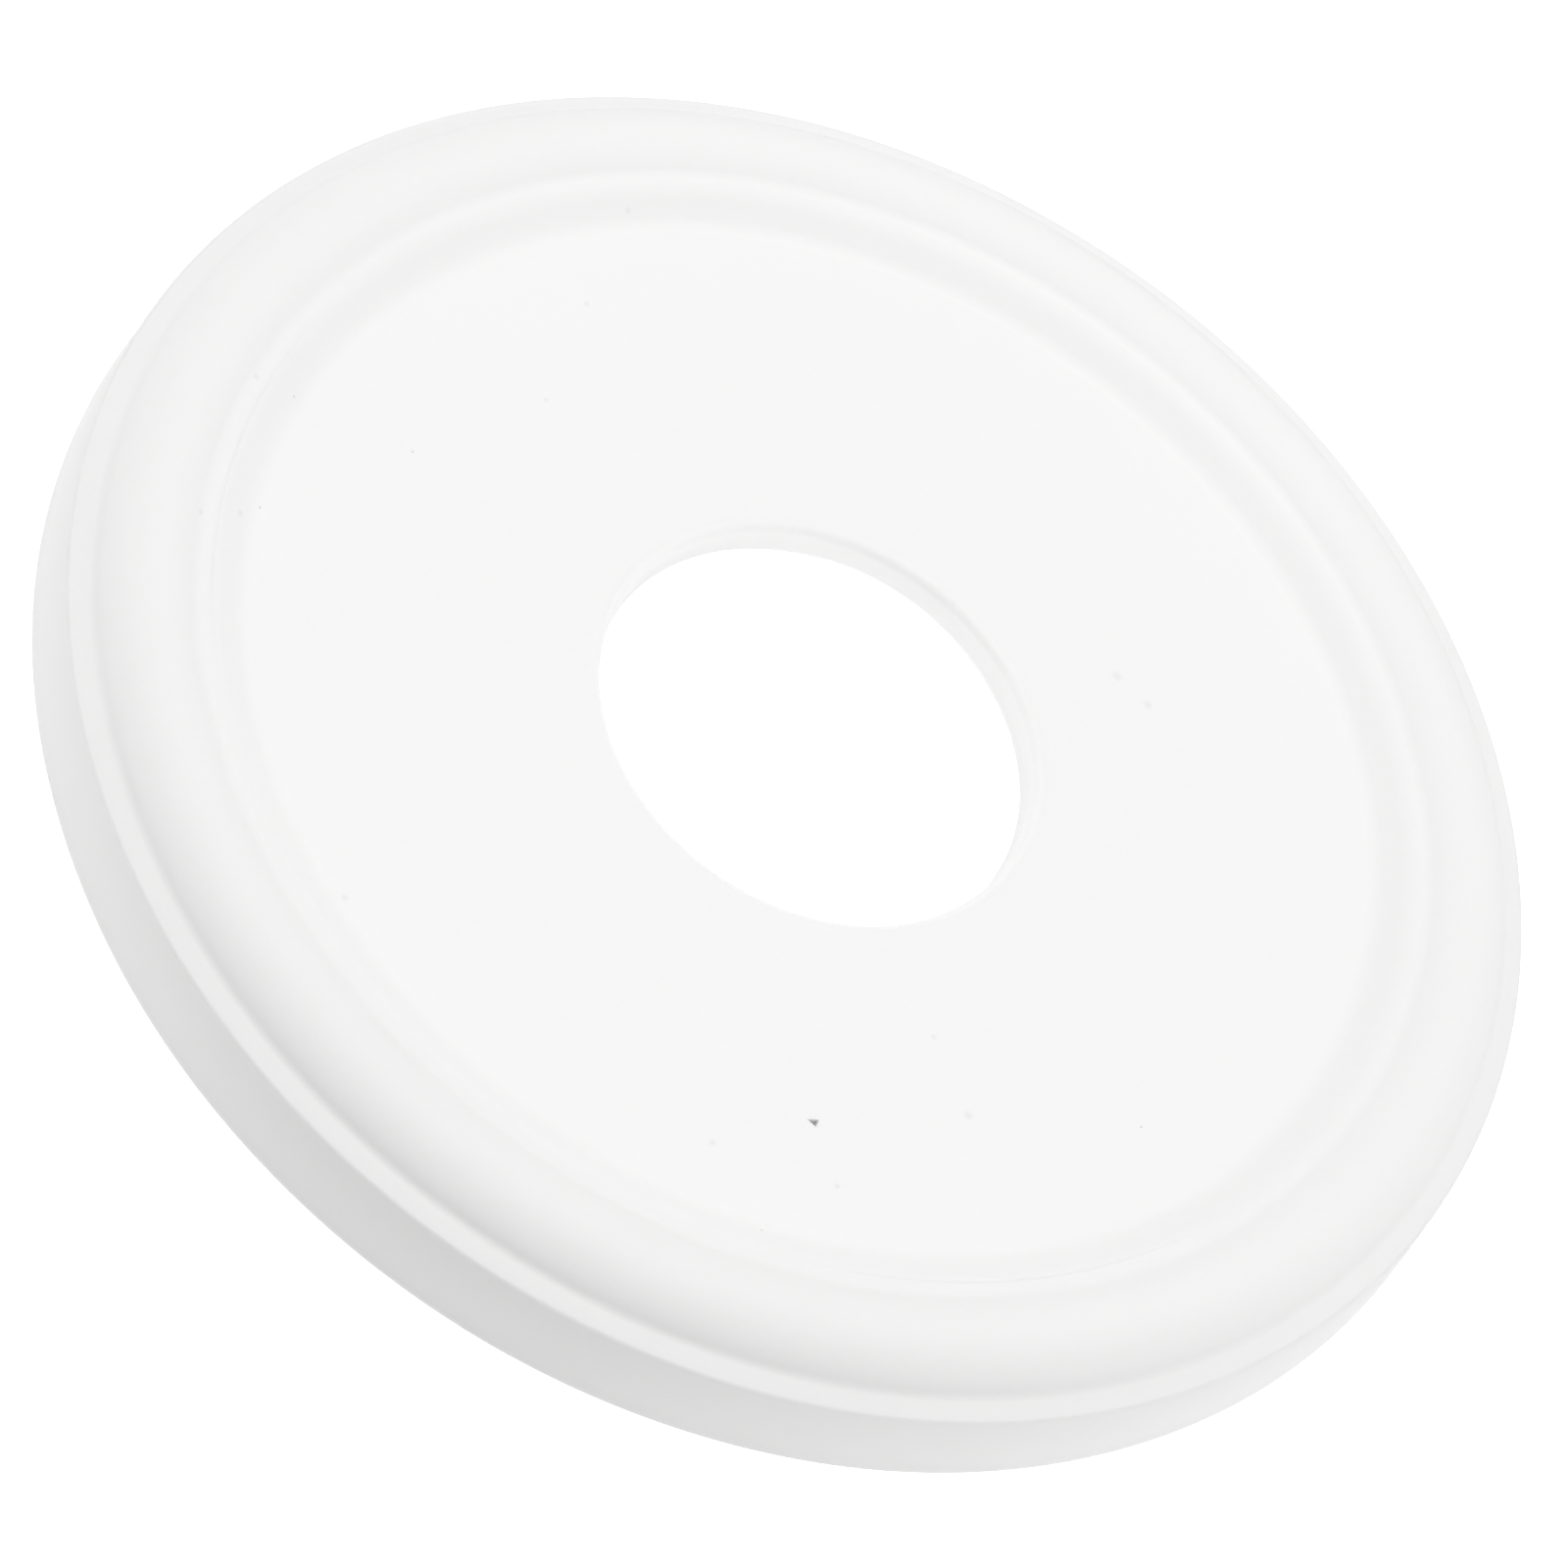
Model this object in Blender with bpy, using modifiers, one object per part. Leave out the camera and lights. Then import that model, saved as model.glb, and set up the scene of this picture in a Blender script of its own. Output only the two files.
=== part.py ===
"""Ceiling rose: one cast disc with a moulded border and a hole for the cable.

It lies on the rim of its back with its face up, centred on the Z axis. Its back is recessed inside the rim, so the
plain field between the hole and the border is a shell. Lengths are in metres and angles in degrees.
"""

import math

import bpy

# The whole disc
OUTER_DIAMETER = 0.3048
HOLE_DIAMETER = 0.0889
FACETS = 96

# Depths of the plain field: the recess behind it and the shell itself
RECESS_DEPTH = 0.0130
FIELD_THICKNESS = 0.0070

# The hole: how much wider its mouth is than its back, and the rounding of its front edge
HOLE_DRAFT = 0.0005
HOLE_ROUNDING = 0.0024

# The border's widths, from the outside in. The cushion is the large rounded moulding.
WALL_BATTER = 0.00135
LAND_WIDTH = 0.0039
QUIRK_WIDTH = 0.0014
CUSHION_WIDTH = 0.0097
SHOULDER_WIDTH = 0.0075
HOLLOW_WIDTH = 0.0023
BEAD_WIDTH = 0.0042
STEP_WIDTH = 0.0033
COVE_WIDTH = 0.0032

# The border's heights and slopes. The crest of the cushion is the highest ring of the disc.
CREST_RISE = 0.0054
LAND_DROP = 0.0025
LAND_SLOPE = 18.0
QUIRK_SLOPE = 58.0
SHOULDER_SLOPE = 26.0
BEAD_FALL = 4.0
COVE_SLOPE = 26.0
LAND_ROUNDING = 0.0011

# The back: the width of the rim that it lies on, the lip along its outer edge, and the recess's inner corner
RIM_WIDTH = 0.0100
RIM_DRAFT = 0.0006
LIP_HEIGHT = 0.0012
LIP_REACH = 0.0004
RECESS_FILLET = 0.0030

# Sizes that follow from the others
OUTER_RADIUS = OUTER_DIAMETER / 2
HOLE_RADIUS = HOLE_DIAMETER / 2
FIELD_Z = RECESS_DEPTH + FIELD_THICKNESS
CREST_Z = FIELD_Z + CREST_RISE


def tangent(degrees):
    return math.tan(math.radians(degrees))


def arc(centre, across, up, start, end, count):
    """Points of an ellipse's arc about centre, from the angle start to the angle end, both of them included."""
    angles = [start + (end - start) * step / (count - 1) for step in range(count)]
    return [
        (
            centre[0] + across * math.cos(math.radians(angle)),
            centre[1] + up * math.sin(math.radians(angle)),
        )
        for angle in angles
    ]


def bend(start, width, slope_in, slope_out, count):
    """Points after start of a curve that goes outwards by width while its slope changes evenly between the two."""
    points = []
    r, z = start
    step = width / count
    for index in range(count):
        share = (index + 0.5) / count
        slope = slope_in + (slope_out - slope_in) * share
        r += step
        z += step * tangent(slope)
        points.append((r, z))
    return points


def hole_mouth():
    """The hole's wall from its back edge up, and the rounding onto the field."""
    mouth_radius = HOLE_RADIUS + HOLE_DRAFT
    rounding = min(HOLE_ROUNDING, 0.45 * FIELD_THICKNESS)
    centre = (mouth_radius + rounding, FIELD_Z - rounding)
    return [(HOLE_RADIUS, RECESS_DEPTH)] + arc(centre, rounding, rounding, 180, 90, 4)


def cushion_crest_radius():
    return OUTER_RADIUS - WALL_BATTER - LAND_WIDTH - QUIRK_WIDTH - CUSHION_WIDTH


def border_inside():
    """From the field's edge outwards and up to the cushion's crest: cove, step, bead, hollow and shoulder.

    The step takes up what is left of the rise, so that the crest comes out at its height.
    """
    around_bead = bend((0.0, 0.0), BEAD_WIDTH, COVE_SLOPE, -BEAD_FALL, 5)
    around_bead += bend(around_bead[-1], HOLLOW_WIDTH, -BEAD_FALL, SHOULDER_SLOPE, 4)
    around_bead += bend(around_bead[-1], SHOULDER_WIDTH, SHOULDER_SLOPE, 0, 5)
    bead_start = cushion_crest_radius() - around_bead[-1][0]
    points = [(bead_start - STEP_WIDTH - COVE_WIDTH, FIELD_Z)]
    points += bend(points[-1], COVE_WIDTH, 0, COVE_SLOPE, 4)
    step_z = CREST_Z - around_bead[-1][1]
    points.append((bead_start, step_z))
    points += [(bead_start + r, step_z + z) for r, z in around_bead]
    return points


def border_outside():
    """From the crest down the cushion's arc and its hollow foot to the land, and over the land's corner to the wall."""
    crest_radius = cushion_crest_radius()
    land_outer = (OUTER_RADIUS - WALL_BATTER, FIELD_Z - LAND_DROP)
    land_inner_z = land_outer[1] + LAND_WIDTH * tangent(LAND_SLOPE)
    quirk_drop = bend((0.0, 0.0), QUIRK_WIDTH, -QUIRK_SLOPE, -LAND_SLOPE, 4)[-1][1]
    cushion_drop = CREST_Z - land_inner_z + quirk_drop
    sweep = 2 * math.degrees(math.atan2(cushion_drop, CUSHION_WIDTH))
    radius = CUSHION_WIDTH / math.sin(math.radians(sweep))
    cushion = arc((crest_radius, CREST_Z - radius), radius, radius, 90, 90 - sweep, 9)
    quirk = bend(cushion[-1], QUIRK_WIDTH, -QUIRK_SLOPE, -LAND_SLOPE, 4)
    centre = (
        land_outer[0] - LAND_ROUNDING,
        land_outer[1] + LAND_ROUNDING * tangent(LAND_SLOPE) - LAND_ROUNDING / math.cos(math.radians(LAND_SLOPE)),
    )
    corner = arc(centre, LAND_ROUNDING, LAND_ROUNDING, 90 - LAND_SLOPE, 0, 3)
    return cushion[1:] + quirk + corner


def wall_and_rim():
    """Down the outer wall and its lip, across the rim that the disc lies on, and up into the recess."""
    rim_inner = OUTER_RADIUS - RIM_WIDTH
    recess_radius = rim_inner - RIM_DRAFT
    fillet = min(RECESS_FILLET, 0.45 * RECESS_DEPTH)
    centre = (recess_radius - fillet, RECESS_DEPTH - fillet)
    return [
        (OUTER_RADIUS - LIP_REACH, 3 * LIP_HEIGHT),
        (OUTER_RADIUS - LIP_REACH / 4, 1.6 * LIP_HEIGHT),
        (OUTER_RADIUS, LIP_HEIGHT),
        (OUTER_RADIUS, 0.0),
        (rim_inner, 0.0),
    ] + arc(centre, fillet, fillet, 0, 90, 5)


def clear_scene():
    for obj in list(bpy.data.objects):
        bpy.data.objects.remove(obj, do_unlink=True)


def turned(name, profile, collection):
    """An object that turns a closed profile of (radius, height) points about the Z axis."""
    mesh = bpy.data.meshes.new(name)
    edges = [(index, (index + 1) % len(profile)) for index in range(len(profile))]
    mesh.from_pydata([(r, 0.0, z) for r, z in profile], edges, [])
    obj = bpy.data.objects.new(name, mesh)
    collection.objects.link(obj)
    screw = obj.modifiers.new("turn", "SCREW")
    screw.axis = "Z"
    screw.angle = 2 * math.pi
    screw.steps = FACETS
    screw.render_steps = FACETS
    screw.use_merge_vertices = True
    screw.merge_threshold = 0.00001
    screw.use_smooth_shade = True
    return obj


def primer_white():
    material = bpy.data.materials.new("white primer")
    material.use_nodes = True
    shader = material.node_tree.nodes["Principled BSDF"]
    shader.inputs["Base Color"].default_value = (0.86, 0.86, 0.85, 1.0)
    shader.inputs["Roughness"].default_value = 0.75
    return material


def main():
    clear_scene()
    part = bpy.data.collections.new("ceiling rose")
    bpy.context.scene.collection.children.link(part)
    profile = hole_mouth() + border_inside() + border_outside() + wall_and_rim()
    rose = turned("ceiling_rose", profile, part)
    rose.data.materials.append(primer_white())


main()
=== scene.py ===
"""A plain round ceiling rose, white primed, lying on its back rim with its face up.

The whole rose is one casting: a profile turned about the Z axis, with the small faults of a hand-trimmed
cast worked into it. Lengths are in metres and slopes in degrees. The camera looks down on the face from the
-Y side.
"""

import functools
import math

import bpy
import numpy as np
from mathutils import Matrix, Vector


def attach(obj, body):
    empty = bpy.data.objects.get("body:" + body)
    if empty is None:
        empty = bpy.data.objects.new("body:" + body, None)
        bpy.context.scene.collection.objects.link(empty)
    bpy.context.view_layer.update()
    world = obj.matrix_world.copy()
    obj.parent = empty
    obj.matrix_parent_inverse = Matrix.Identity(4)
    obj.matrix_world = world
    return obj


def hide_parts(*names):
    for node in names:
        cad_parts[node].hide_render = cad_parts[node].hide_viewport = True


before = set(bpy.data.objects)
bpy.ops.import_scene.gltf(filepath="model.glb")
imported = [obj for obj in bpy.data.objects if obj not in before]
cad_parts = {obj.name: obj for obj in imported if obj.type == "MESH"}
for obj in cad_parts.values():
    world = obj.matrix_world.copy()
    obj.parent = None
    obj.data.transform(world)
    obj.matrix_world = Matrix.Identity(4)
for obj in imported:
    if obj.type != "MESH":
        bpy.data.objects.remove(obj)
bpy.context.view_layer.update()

# The casting's named sizes, the same as in the part's source
OUTER_RADIUS = 0.1524
HOLE_RADIUS = 0.04445
RECESS_DEPTH = 0.0130
FIELD_THICKNESS = 0.0070
HOLE_DRAFT = 0.0005
HOLE_ROUNDING = 0.0024
WALL_BATTER = 0.00135
LAND_WIDTH = 0.0039
QUIRK_WIDTH = 0.0014
CUSHION_WIDTH = 0.0097
SHOULDER_WIDTH = 0.0075
HOLLOW_WIDTH = 0.0023
BEAD_WIDTH = 0.0042
STEP_WIDTH = 0.0033
COVE_WIDTH = 0.0032
CREST_RISE = 0.0054
LAND_DROP = 0.0025
LAND_SLOPE = 18.0
QUIRK_SLOPE = 58.0
SHOULDER_SLOPE = 26.0
BEAD_FALL = 4.0
COVE_SLOPE = 26.0
LAND_ROUNDING = 0.0011
RIM_WIDTH = 0.0100
RIM_DRAFT = 0.0006
LIP_HEIGHT = 0.0012
LIP_REACH = 0.0004
RECESS_FILLET = 0.0030
FIELD_Z = RECESS_DEPTH + FIELD_THICKNESS
CREST_Z = FIELD_Z + CREST_RISE
CREST_RADIUS = OUTER_RADIUS - WALL_BATTER - LAND_WIDTH - QUIRK_WIDTH - CUSHION_WIDTH

# Small faults of the cast: where the outer wall's skin begins and over what distance it comes in, how far it
# wanders, how high the lip's trimming reaches, how much it takes and wanders, the direction where it takes
# least, how deep the slow swells of the face are, and at what height the face begins and over what rise
SKIN_FROM = 0.1475
SKIN_FADE = 0.0030
SKIN_WANDER = 0.00007
TRIM_HEIGHT = 0.0060
TRIM_DEPTH = 0.00045
TRIM_WANDER = 0.00008
LEAST_TRIM = math.radians(215)
FACE_SWELL = 0.00010
FACE_RAMP = (RECESS_DEPTH + 0.003, 0.002)

# The dark chip in the field: its three corners, its middle, how far its edge slopes in, how ragged the dirt's
# edge is, its depth, and the radius of the soiled ring round it
CHIP_CORNERS = [(0.04057, -0.08175), (0.04245, -0.08209), (0.04211, -0.08050)]
CHIP = (0.04171, -0.08145)
CHIP_EDGE = 0.00045
CHIP_RAGGED = 0.0003
CHIP_DEPTH = 0.00055
CHIP_HALO = 0.0010

# The grid's spokes round the axis, and the finer grid round the chip: its reach, its rings and its spokes
SPOKES = 480
CHIP_GRID_REACH = 0.0016
CHIP_GRID_RINGS = 22
CHIP_GRID_SPOKES = 24

# The fine crease along the bead's inner foot: its radius, half width and depth, the directions where it is
# deepest, the least cosine of the angle to one of them at which it shows, and how fast it deepens from there
CREASE_RADIUS = 0.1242
CREASE_HALF_WIDTH = 0.0006
CREASE_DEPTH = 0.00010
CREASE_DIRECTIONS = [(-0.951, -0.309), (0.707, -0.707)]
CREASE_REACH = 0.927
CREASE_FADE = 16.5

# Pinholes and specks of the face: x, y, radius
PINHOLES = [
    (-0.0941, -0.0037, 0.00026),
    (-0.1184, -0.0102, 0.00024),
    (-0.1103, -0.0371, 0.00027),
    (0.0937, -0.0370, 0.00026),
    (0.0447, -0.1097, 0.00022),
]
SPECKS = [
    (-0.1123, -0.0421, 0.0006),
    (-0.1261, -0.0136, 0.0006),
    (-0.1181, -0.0492, 0.0005),
    (-0.0900, 0.0794, 0.0005),
    (0.0282, -0.0992, 0.0006),
    (0.0518, -0.0907, 0.0005),
    (0.0650, -0.0590, 0.0008),
    (0.0515, -0.0482, 0.0005),
    (0.0505, 0.0524, 0.0008),
    (0.0424, 0.0539, 0.0009),
    (-0.0531, -0.1018, 0.0006),
    (-0.0799, 0.0269, 0.0005),
    (-0.0852, 0.0537, 0.0005),
]

# The primer's white, and what each thing on it takes off that white, some of it painted shade. On the outer
# wall the painted shade along the sides and front is less by the wall's share.
WHITE = 0.80
CLOUD_TONE = 0.020
GRAIN_TONE = 0.012
# Painted shade: a band along the sides, more towards the -Y front, a little at the outer edge, and on the
# outer wall's top
SIDE_PAINTED_SHADE = 0.018
FRONT_PAINTED_SHADE = 0.034
EDGE_PAINTED_SHADE = 0.006
WALL_TOP_PAINTED_SHADE = 0.036
WALL_LESS_SHADE = 0.6
# Painted shade along the crease
CREASE_PAINTED_SHADE = 0.02
HALO_DIRT = 0.03
SPECK_DIRT = 0.06
# Painted shade in the pinholes
PINHOLE_PAINTED_SHADE = 0.17
CHIP_DIRT = 0.45

# Painted light and shade on the hole's wall: how much lighter it is painted from its back edge up to its
# mouth, and how much darker it starts at the back edge
HOLE_PAINTED_LIGHT = 0.090
HOLE_PAINTED_SHADE = 0.040

# Where each of these begins and over what distance it comes in: the three bands of painted shade, the outer
# wall and the field by radius, and the wall's top by height
SIDE_SHADE_RAMP = (0.116, 0.008)
FRONT_SHADE_RAMP = (0.122, 0.006)
EDGE_SHADE_RAMP = (0.140, 0.007)
WALL_RAMP = (0.1503, 0.0004)
FIELD_RAMP = (0.0460, 0.0010)
WALL_TOP_RAMP = (0.004, 0.013)

# The studio's soft lights: name, place, size and radiance. Each of them faces the rose.
LIGHTS = [
    ("overhead", (0.0, 0.0, 2.2), 2.0, 2.72),
    ("far_side", (0.0, 2.4, 0.7), 1.6, 0.64),
    ("far_high", (0.0, 1.6, 1.6), 1.6, 0.66),
    ("near_side", (0.0, -2.4, 1.0), 1.6, 0.80),
    ("left_side", (-2.4, 0.0, 1.0), 1.6, 1.90),
    ("left_high", (-1.6, 0.0, 1.6), 1.4, 2.06),
    ("right_side", (2.4, 0.0, 1.0), 1.6, 2.30),
    ("right_high", (1.6, 0.0, 1.6), 1.4, 1.55),
]

# The small round light in the floor under the hole, which faces up: its middle, diameter and radiance
UNDER_HOLE_Y = 0.032
UNDER_HOLE_Z = 0.0005
UNDER_HOLE_SIZE = 0.028
UNDER_HOLE_RADIANCE = 1.60

# The floor: how far it reaches each way, and how far below the rim it lies
FLOOR_REACH = 6.0
FLOOR_DROP = 0.0002

# The camera, as the photograph's ellipses give it: its place, and its right, up and back directions
CAMERA_PLACE = Vector((0.00100, -0.98697, 1.16084))
CAMERA_RIGHT = Vector((0.81801, 0.43849, 0.37227))
CAMERA_UP = Vector((-0.57521, 0.62359, 0.52941))
CAMERA_BACK = Vector((0.0, -0.64720, 0.76232))


# Surfaces


def tangent(degrees):
    return np.tan(np.radians(degrees))


def ramp(values, start, width):
    """Nought up to start, one from start plus width on, and straight between them."""
    return np.clip((values - start) / width, 0, 1)


def eased(share):
    """A share between nought and one, eased at both ends: share squared times (3 - 2 share)."""
    return share * share * (3 - 2 * share)


def straight(start, end, count):
    """Points after start, evenly spaced along the straight line to end."""
    share = np.linspace(0, 1, count + 1)[1:, None]
    return np.asarray(start) + (np.asarray(end) - np.asarray(start)) * share


def arc(centre, across, up, start, end, count):
    """Points of an ellipse: centre plus across times the angle's cosine and up times its sine."""
    angle = np.radians(np.linspace(start, end, count))
    return np.column_stack([centre[0] + across * np.cos(angle), centre[1] + up * np.sin(angle)])


def bend(start, width, slope_in, slope_out, count):
    """Points after start whose height adds up the tangent of a slope that changes evenly across the width."""
    middle = (np.arange(count) + 0.5) / count
    rise = np.cumsum(tangent(slope_in + (slope_out - slope_in) * middle)) * width / count
    run = np.arange(1, count + 1) * width / count
    return np.column_stack([start[0] + run, start[1] + rise])


def hole_and_mouth():
    """Up the hole's wall from its back edge, and round its mouth onto the field."""
    back_edge = (HOLE_RADIUS, RECESS_DEPTH)
    centre = (HOLE_RADIUS + HOLE_DRAFT + HOLE_ROUNDING, FIELD_Z - HOLE_ROUNDING)
    rounding = arc(centre, HOLE_ROUNDING, HOLE_ROUNDING, 180, 90, 8)
    return np.vstack([back_edge, straight(back_edge, rounding[0], 6)[:-1], rounding])


def field_to_crest(start):
    """From start out across the field, up the cove and the step, over the bead and up to the crest."""
    bead = bend((0, 0), BEAD_WIDTH, COVE_SLOPE, -BEAD_FALL, 24)
    hollow = bend(bead[-1], HOLLOW_WIDTH, -BEAD_FALL, SHOULDER_SLOPE, 8)
    shoulder = bend(hollow[-1], SHOULDER_WIDTH, SHOULDER_SLOPE, 0, 14)
    bead_start = (CREST_RADIUS - shoulder[-1][0], CREST_Z - shoulder[-1][1])
    field = straight(start, (bead_start[0] - STEP_WIDTH - COVE_WIDTH, FIELD_Z), 26)
    cove = bend(field[-1], COVE_WIDTH, 0, COVE_SLOPE, 8)
    step = straight(cove[-1], bead_start, 3)
    return np.vstack([field, cove, step, np.vstack([bead, hollow, shoulder]) + bead_start])


def crest_to_wall():
    """Down the cushion's round and its hollow foot, out across the land and over its rounded corner."""
    land_outer = (OUTER_RADIUS - WALL_BATTER, FIELD_Z - LAND_DROP)
    land_inner_z = land_outer[1] + LAND_WIDTH * tangent(LAND_SLOPE)
    quirk_drop = bend((0, 0), QUIRK_WIDTH, -QUIRK_SLOPE, -LAND_SLOPE, 8)[-1][1]
    cushion_drop = CREST_Z - land_inner_z + quirk_drop
    sweep = 2 * math.degrees(math.atan2(cushion_drop, CUSHION_WIDTH))
    radius = CUSHION_WIDTH / math.sin(math.radians(sweep))
    cushion = arc((CREST_RADIUS, CREST_Z - radius), radius, radius, 90, 90 - sweep, 20)[1:]
    quirk = bend(cushion[-1], QUIRK_WIDTH, -QUIRK_SLOPE, -LAND_SLOPE, 8)
    corner_rise = LAND_ROUNDING * tangent(LAND_SLOPE) - LAND_ROUNDING / np.cos(np.radians(LAND_SLOPE))
    corner_centre = (land_outer[0] - LAND_ROUNDING, land_outer[1] + corner_rise)
    corner = arc(corner_centre, LAND_ROUNDING, LAND_ROUNDING, 90 - LAND_SLOPE, 0, 7)
    land = straight(quirk[-1], corner[0], 4)[:-1]
    return np.vstack([cushion, quirk, land, corner])


def wall_and_back(start):
    """From start down the wall and its lip, across the rim and round the recess's corner to near the hole."""
    lip = np.array(
        [
            (OUTER_RADIUS - LIP_REACH, 3 * LIP_HEIGHT),
            (OUTER_RADIUS - LIP_REACH * 0.6, 2.1 * LIP_HEIGHT),
            (OUTER_RADIUS - LIP_REACH / 4, 1.6 * LIP_HEIGHT),
            (OUTER_RADIUS, LIP_HEIGHT),
            (OUTER_RADIUS, 0.25 * LIP_HEIGHT),
            (OUTER_RADIUS - LIP_REACH / 2, 0.0),
        ]
    )
    wall = straight(start, lip[0], 8)[:-1]
    rim_inner = OUTER_RADIUS - RIM_WIDTH
    rim = straight(lip[-1], (rim_inner, 0.0), 3)
    fillet_centre = (rim_inner - RIM_DRAFT - RECESS_FILLET, RECESS_DEPTH - RECESS_FILLET)
    fillet = arc(fillet_centre, RECESS_FILLET, RECESS_FILLET, 0, 90, 7)
    back = straight(fillet[-1], (HOLE_RADIUS, RECESS_DEPTH), 12)[:-1]
    return np.vstack([wall, lip, rim, fillet, back])


def rose_profile():
    """The closed profile as (radius, height): up the hole, across the face, down the wall, along the back."""
    hole = hole_and_mouth()
    inside = field_to_crest(hole[-1])
    outside = crest_to_wall()
    return np.vstack([hole, inside, outside, wall_and_back(outside[-1])])


def with_lines_near(values, low, high, count):
    """The sorted values, with count of them spread evenly from low to high in place of those there."""
    kept = values[(values < low) | (values > high)]
    return np.sort(np.concatenate([kept, np.linspace(low, high, count)]))


def chip_sides():
    """For each side of the chip's triangle (a, b, c): a x + b y + c is the distance inside that side."""
    sides = []
    for first, second in zip(CHIP_CORNERS, CHIP_CORNERS[1:] + CHIP_CORNERS[:1]):
        length = math.dist(first, second)
        a, b = (first[1] - second[1]) / length, (second[0] - first[0]) / length
        sides.append((a, b, -a * first[0] - b * first[1]))
    return sides


def chip_hollow(x, y):
    """Depth of the chip: it rises smoothly with the distance from the nearest side of the triangle."""
    inside = np.min([a * x + b * y + c for a, b, c in chip_sides()], axis=0)
    return CHIP_DEPTH * eased(ramp(inside, -0.3 * CHIP_EDGE, CHIP_EDGE))


def crease_hollow(radius, x, y):
    """Depth of the crease: an eased V across its width, times how near it is to where it is deepest."""
    across = np.clip(1 - np.abs(radius - CREASE_RADIUS) / CREASE_HALF_WIDTH, 0, 1)
    near = np.max([x * a + y * b for a, b in CREASE_DIRECTIONS], axis=0) / CREASE_RADIUS
    return CREASE_DEPTH * eased(across) * ramp(near, CREASE_REACH, 1 / CREASE_FADE)


def casting_faults(radius, height, angle):
    """The grid with the small faults of a hand-trimmed cast, all of which only take material away.

    The skin of the wall moves in by slow sines of the angle, and its foot by one cosine of the angle besides.
    The face sinks by slow sines of the angle and the radius, and by the chip's and the crease's hollows.
    """
    x, y = radius * np.cos(angle), radius * np.sin(angle)
    skin = ramp(radius, SKIN_FROM, SKIN_FADE)
    trim = 0.5 - 0.5 * np.cos(angle - LEAST_TRIM)
    wander = 0.5 + 0.3 * np.sin(5 * angle + 0.7) + 0.2 * np.sin(11 * angle + 2.1)
    low = np.clip(1 - height / TRIM_HEIGHT, 0, 1)
    radius = radius - skin * (SKIN_WANDER * wander + low * (TRIM_DEPTH * trim + TRIM_WANDER * wander))
    on_face = ramp(height, *FACE_RAMP)
    swell = 0.5 + 0.25 * np.sin(2 * angle + 1.3 + 14 * radius) + 0.25 * np.sin(3 * angle - 22 * radius + 0.4)
    height = height - on_face * FACE_SWELL * swell
    hollow = chip_hollow(x, y) + crease_hollow(np.hypot(x, y), x, y)
    return radius, height - np.where(on_face > 0.5, hollow, 0)


def turned_grid(profile, angles):
    """A closed profile carried round Z: x = r cos(angle), y = r sin(angle), z = h, and the grid's quads."""
    radius, height = profile[:, 0][None, :], profile[:, 1][None, :]
    angle = angles[:, None]
    radius, height, angle = np.broadcast_arrays(radius, height, angle)
    radius, height = casting_faults(radius, height, angle)
    points = np.stack([radius * np.cos(angle), radius * np.sin(angle), height], axis=-1)
    rows, columns = radius.shape
    index = np.arange(rows * columns).reshape(rows, columns)
    right, down = np.roll(index, -1, axis=1), np.roll(index, -1, axis=0)
    quads = np.stack([index, down, np.roll(down, -1, axis=1), right], axis=-1)
    return points.reshape(-1, 3), quads.reshape(-1, 4)


def facing_out(points, quads):
    """The quads, turned round if the volume that they enclose comes out negative."""
    a, b, c, d = (points[quads[:, k]] for k in range(4))
    volume = np.einsum("ij,ij->i", a, np.cross(b, c) + np.cross(c, d)).sum()
    return quads if volume > 0 else quads[:, ::-1]


def mesh_object(name, points, quads):
    mesh = bpy.data.meshes.new(name)
    quads = facing_out(points, quads)
    mesh.vertices.add(len(points))
    mesh.vertices.foreach_set("co", points.astype(np.float32).ravel())
    mesh.loops.add(quads.size)
    mesh.loops.foreach_set("vertex_index", quads.astype(np.int32).ravel())
    mesh.polygons.add(len(quads))
    mesh.polygons.foreach_set("loop_start", np.arange(0, quads.size, 4, dtype=np.int32))
    mesh.update(calc_edges=True)
    mesh.validate()
    mesh.shade_smooth()
    obj = bpy.data.objects.new(name, mesh)
    bpy.context.scene.collection.objects.link(obj)
    return obj


def make_casting():
    """The rose's one visible piece, with closer grid lines through the chip."""
    profile = rose_profile()
    chip_radius, chip_angle = math.hypot(*CHIP), math.atan2(CHIP[1], CHIP[0]) % (2 * math.pi)
    on_field = (profile[:, 1] == FIELD_Z) & (profile[:, 0] > hole_and_mouth()[-1, 0])
    first, last = np.flatnonzero(on_field)[[0, -1]]
    near, far = chip_radius - CHIP_GRID_REACH, chip_radius + CHIP_GRID_REACH
    radii = with_lines_near(profile[first : last + 1, 0], near, far, CHIP_GRID_RINGS)
    field = np.column_stack([radii, np.full(len(radii), FIELD_Z)])
    profile = np.vstack([profile[:first], field, profile[last + 1 :]])
    angles = np.linspace(0, 2 * math.pi, SPOKES, endpoint=False)
    aside = CHIP_GRID_REACH / chip_radius
    angles = with_lines_near(angles, chip_angle - aside, chip_angle + aside, CHIP_GRID_SPOKES)
    points, quads = turned_grid(profile, angles)
    return mesh_object("rose_casting", points, quads)


# Materials


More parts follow.
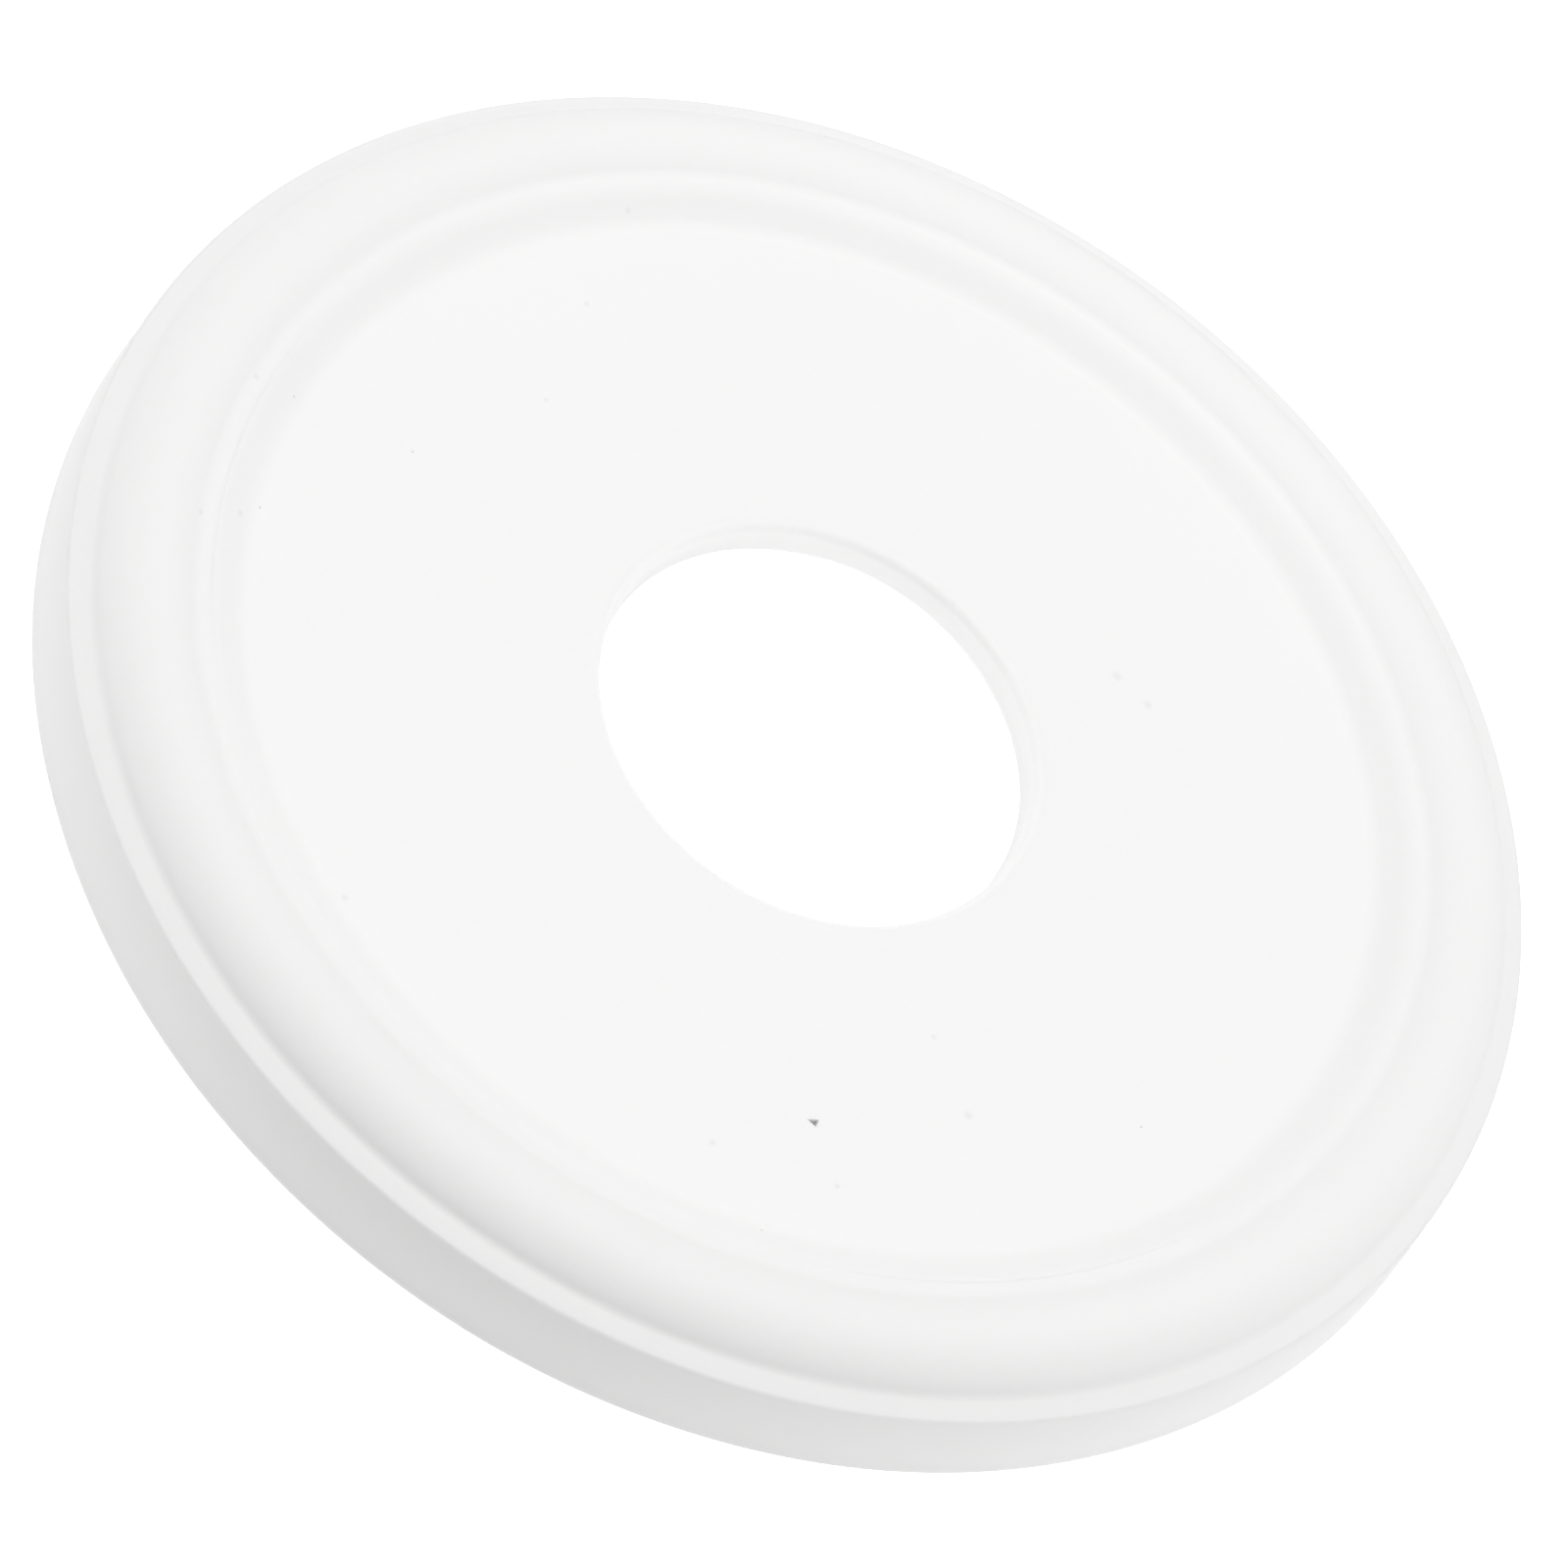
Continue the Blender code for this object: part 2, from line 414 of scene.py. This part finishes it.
class Nodes:
    """Makes the nodes of one material."""

    def __init__(self, name):
        self.material = bpy.data.materials.new(name)
        self.material.use_nodes = True
        self.tree = self.material.node_tree
        self.shader = self.tree.nodes["Principled BSDF"]

    def add(self, kind, settings=None, **inputs):
        """A node of that type. Its settings are set first, and then its sockets from values or links."""
        node = self.tree.nodes.new(kind)
        for key, value in (settings or {}).items():
            setattr(node, key, value)
        for key, value in inputs.items():
            name = key.replace("_", " ")
            socket = node.inputs[int(key[1:])] if key[1:].isdigit() else node.inputs[name]
            self.feed(socket, value)
        return node

    def feed(self, socket, value):
        if isinstance(value, Value):
            self.tree.links.new(value.socket, socket)
        elif isinstance(value, bpy.types.NodeSocket):
            self.tree.links.new(value, socket)
        else:
            socket.default_value = value

    def value(self, socket):
        return Value(self, socket)


class Value:
    """A socket that holds a number. Its operators add Math nodes."""

    def __init__(self, nodes, socket):
        self.nodes = nodes
        self.socket = socket

    def math(self, operation, first, second=0.0, clamp=False):
        settings = {"operation": operation, "use_clamp": clamp}
        node = self.nodes.add("ShaderNodeMath", settings, i0=first, i1=second)
        return Value(self.nodes, node.outputs[0])

    def __add__(self, other):
        return self.math("ADD", self, other)

    __radd__ = __add__

    def __sub__(self, other):
        return self.math("SUBTRACT", self, other)

    def __rsub__(self, other):
        return self.math("SUBTRACT", other, self)

    def __mul__(self, other):
        return self.math("MULTIPLY", self, other)

    __rmul__ = __mul__

    def __truediv__(self, other):
        return self.math("DIVIDE", self, other)

    def clamped(self):
        return self.math("ADD", self, 0.0, clamp=True)

    def ramp(self, start, width):
        """Nought up to start, one from start plus width on, and straight between them."""
        return ((self - start) * (1 / width)).clamped()

    def higher(self, other):
        return self.math("MAXIMUM", self, other)

    def lower(self, other):
        return self.math("MINIMUM", self, other)


def noise(nodes, place, scale, detail, roughness=0.5):
    """Noise between nought and one at place."""
    node = nodes.add(
        "ShaderNodeTexNoise",
        {"normalize": True},
        Vector=place,
        Scale=scale,
        Detail=detail,
        Roughness=roughness,
    )
    return nodes.value(node.outputs[0])


def spots(nodes, flat, places, softness):
    """One inside any of the spots (x, y, radius), falling to nought across their soft edges."""
    shown = []
    for x, y, size in places:
        gap = nodes.add("ShaderNodeVectorMath", {"operation": "DISTANCE"}, i0=flat, i1=(x, y, 0.0))
        fall = nodes.add(
            "ShaderNodeMapRange",
            {"interpolation_type": "SMOOTHSTEP"},
            Value=gap.outputs["Value"],
            From_Min=size * (1 - softness),
            From_Max=size * (1 + softness),
            To_Min=1.0,
            To_Max=0.0,
        )
        shown.append(nodes.value(fall.outputs[0]))
    return functools.reduce(Value.higher, shown)


def painted_shade_bands(x, y, radius, height):
    """The painted shade taken off the white: along the sides, the front, the outer edge and the wall's top.
    """
    towards_front = y * -1.0 / radius.higher(0.001)
    front = towards_front.clamped() * towards_front.clamped()
    on_wall = radius.ramp(*WALL_RAMP)
    side_shade = radius.ramp(*SIDE_SHADE_RAMP) * (1.0 - towards_front * towards_front) * SIDE_PAINTED_SHADE
    front_shade = radius.ramp(*FRONT_SHADE_RAMP) * front * FRONT_PAINTED_SHADE
    edge_shade = radius.ramp(*EDGE_SHADE_RAMP) * (towards_front + 1.0) * EDGE_PAINTED_SHADE
    wall_top_shade = on_wall * height.ramp(*WALL_TOP_RAMP) * WALL_TOP_PAINTED_SHADE
    return (side_shade + front_shade) * (1.0 - on_wall * WALL_LESS_SHADE) + edge_shade + wall_top_shade


def crease_mask(x, y, radius):
    """One along the middle of the crease, falling to nought at its sides and ends."""
    ahead = functools.reduce(Value.higher, [x * a + y * b for a, b in CREASE_DIRECTIONS])
    shows = (ahead * (1 / CREASE_RADIUS)).ramp(CREASE_REACH, 1 / CREASE_FADE)
    aside = (radius - CREASE_RADIUS).higher(CREASE_RADIUS - radius)
    return (1.0 - aside * (1 / CREASE_HALF_WIDTH)).clamped() * shows


def chip_mask(x, y, grain):
    """One inside the chip's three sides, with a slightly ragged edge."""
    inside = functools.reduce(Value.lower, [x * a + y * b + c for a, b, c in chip_sides()])
    return ((inside + grain * CHIP_RAGGED) * (1 / CHIP_EDGE) + 0.45).clamped()


def white_primer():
    """Matte white primer: a fine orange-peel grain, faint clouding, painted shade in the pinholes, and dirt
    in the chip.

    Painted shade takes a little off the white of the mouldings, most of all on the -Y side, and the hole's
    wall is painted darker towards its back edge and lighter towards its mouth.
    """
    nodes = Nodes("white_primer")
    place = nodes.add("ShaderNodeTexCoord").outputs["Object"]
    flattened = nodes.add("ShaderNodeVectorMath", {"operation": "MULTIPLY"}, i0=place, i1=(1.0, 1.0, 0.0))
    flat = flattened.outputs[0]
    from_axis = nodes.add("ShaderNodeVectorMath", {"operation": "LENGTH"}, i0=flat)
    radius = nodes.value(from_axis.outputs["Value"])
    parts = nodes.add("ShaderNodeSeparateXYZ", Vector=place)
    x, y, height = (nodes.value(parts.outputs[axis]) for axis in range(3))

    clouds = noise(nodes, place, scale=9.0, detail=3.0) - 0.5
    grain = noise(nodes, place, scale=900.0, detail=2.0) - 0.5
    peel = noise(nodes, place, scale=420.0, detail=3.0, roughness=0.6)
    pinholes = spots(nodes, flat, PINHOLES, softness=0.35)
    specks = spots(nodes, flat, SPECKS, softness=0.8)
    halo = spots(nodes, flat, [(*CHIP, CHIP_HALO)], softness=0.6)
    chip = chip_mask(x, y, grain)
    in_hole = 1.0 - radius.ramp(*FIELD_RAMP)
    up_hole = height.ramp(RECESS_DEPTH, FIELD_THICKNESS)

    # Dirt in the specks and the chip, and painted shade in the pinholes
    dirt_and_painted_shade = specks * SPECK_DIRT + pinholes * PINHOLE_PAINTED_SHADE + chip * CHIP_DIRT
    # Painted shade in the crease, and dirt in the ring round the chip
    dirt_and_painted_shade = dirt_and_painted_shade + halo * HALO_DIRT + crease_mask(x, y, radius) * CREASE_PAINTED_SHADE
    # The bands of painted shade and the marks come off the white here
    shade = WHITE + clouds * CLOUD_TONE + grain * GRAIN_TONE - painted_shade_bands(x, y, radius, height) - dirt_and_painted_shade
    # Painted shade at the hole's back edge, turning to painted light at its mouth
    shade = (shade + in_hole * (up_hole * HOLE_PAINTED_LIGHT - HOLE_PAINTED_SHADE)).clamped()
    colour = nodes.add("ShaderNodeCombineColor", Red=shade, Green=shade, Blue=shade * 0.997)
    nodes.feed(nodes.shader.inputs["Base Color"], colour.outputs[0])
    nodes.feed(nodes.shader.inputs["Roughness"], (0.72 + clouds * 0.10 + chip * 0.15).clamped())
    relief = peel * 0.6 + grain * 0.4 - pinholes * 2.0 - specks * 1.2
    bump = nodes.add("ShaderNodeBump", Strength=0.35, Distance=0.00006, Height=relief)
    nodes.feed(nodes.shader.inputs["Normal"], bump.outputs[0])
    nodes.shader.inputs["Specular IOR Level"].default_value = 0.25
    return nodes.material


def floor_white():
    nodes = Nodes("floor_white")
    nodes.shader.inputs["Base Color"].default_value = (0.50, 0.50, 0.50, 1.0)
    nodes.shader.inputs["Roughness"].default_value = 1.0
    nodes.shader.inputs["Specular IOR Level"].default_value = 0.0
    nodes.shader.inputs["Emission Color"].default_value = (1.0, 1.0, 1.0, 1.0)
    nodes.shader.inputs["Emission Strength"].default_value = 0.80
    return nodes.material


# The room


def make_floor():
    reach = FLOOR_REACH
    corners = [(-reach, -reach), (reach, -reach), (reach, reach), (-reach, reach)]
    mesh = bpy.data.meshes.new("floor")
    mesh.from_pydata([(x, y, -FLOOR_DROP) for x, y in corners], [], [(0, 1, 2, 3)])
    floor = bpy.data.objects.new("floor", mesh)
    bpy.context.scene.collection.objects.link(floor)
    mesh.materials.append(floor_white())


def soft_light(name, place, size, radiance, aim=(0.0, 0.0, 0.0), shape="SQUARE"):
    """An area light at place, turned to face aim. Its power is radiance times pi times its area."""
    light = bpy.data.lights.new(name, "AREA")
    light.shape = shape
    light.size = size
    light.energy = radiance * math.pi * size**2 * (math.pi / 4 if shape == "DISK" else 1)
    obj = bpy.data.objects.new(name, light)
    bpy.context.scene.collection.objects.link(obj)
    obj.location = place
    obj.rotation_euler = (Vector(aim) - Vector(place)).to_track_quat("-Z", "Y").to_euler()
    return obj


def make_lights():
    world = bpy.data.worlds.new("studio")
    bpy.context.scene.world = world
    world.use_nodes = True
    background = world.node_tree.nodes["Background"]
    background.inputs["Color"].default_value = (1.0, 1.0, 1.0, 1.0)
    background.inputs["Strength"].default_value = 0.02
    for name, place, size, radiance in LIGHTS:
        soft_light(name, place, size, radiance)
    place, aim = (0.0, UNDER_HOLE_Y, UNDER_HOLE_Z), (0.0, UNDER_HOLE_Y, 1.0)
    soft_light("under_hole", place, UNDER_HOLE_SIZE, UNDER_HOLE_RADIANCE, aim=aim, shape="DISK")


def make_camera():
    """The camera at its named place, with its right, up and back directions as its matrix's columns."""
    data = bpy.data.cameras.new("camera")
    data.sensor_width = 36.0
    data.lens = 180.0
    data.clip_start = 0.05
    data.clip_end = 50.0
    camera = bpy.data.objects.new("camera", data)
    bpy.context.scene.collection.objects.link(camera)
    turned = Matrix((CAMERA_RIGHT, CAMERA_UP, CAMERA_BACK)).transposed()
    camera.matrix_world = Matrix.Translation(CAMERA_PLACE) @ turned.to_4x4()
    bpy.context.scene.camera = camera


def main():
    casting = make_casting()
    casting.data.materials.append(white_primer())
    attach(casting, "root")
    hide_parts("ceiling_rose")
    make_floor()
    make_lights()
    make_camera()
    bpy.context.scene.view_settings.view_transform = "Standard"


main()
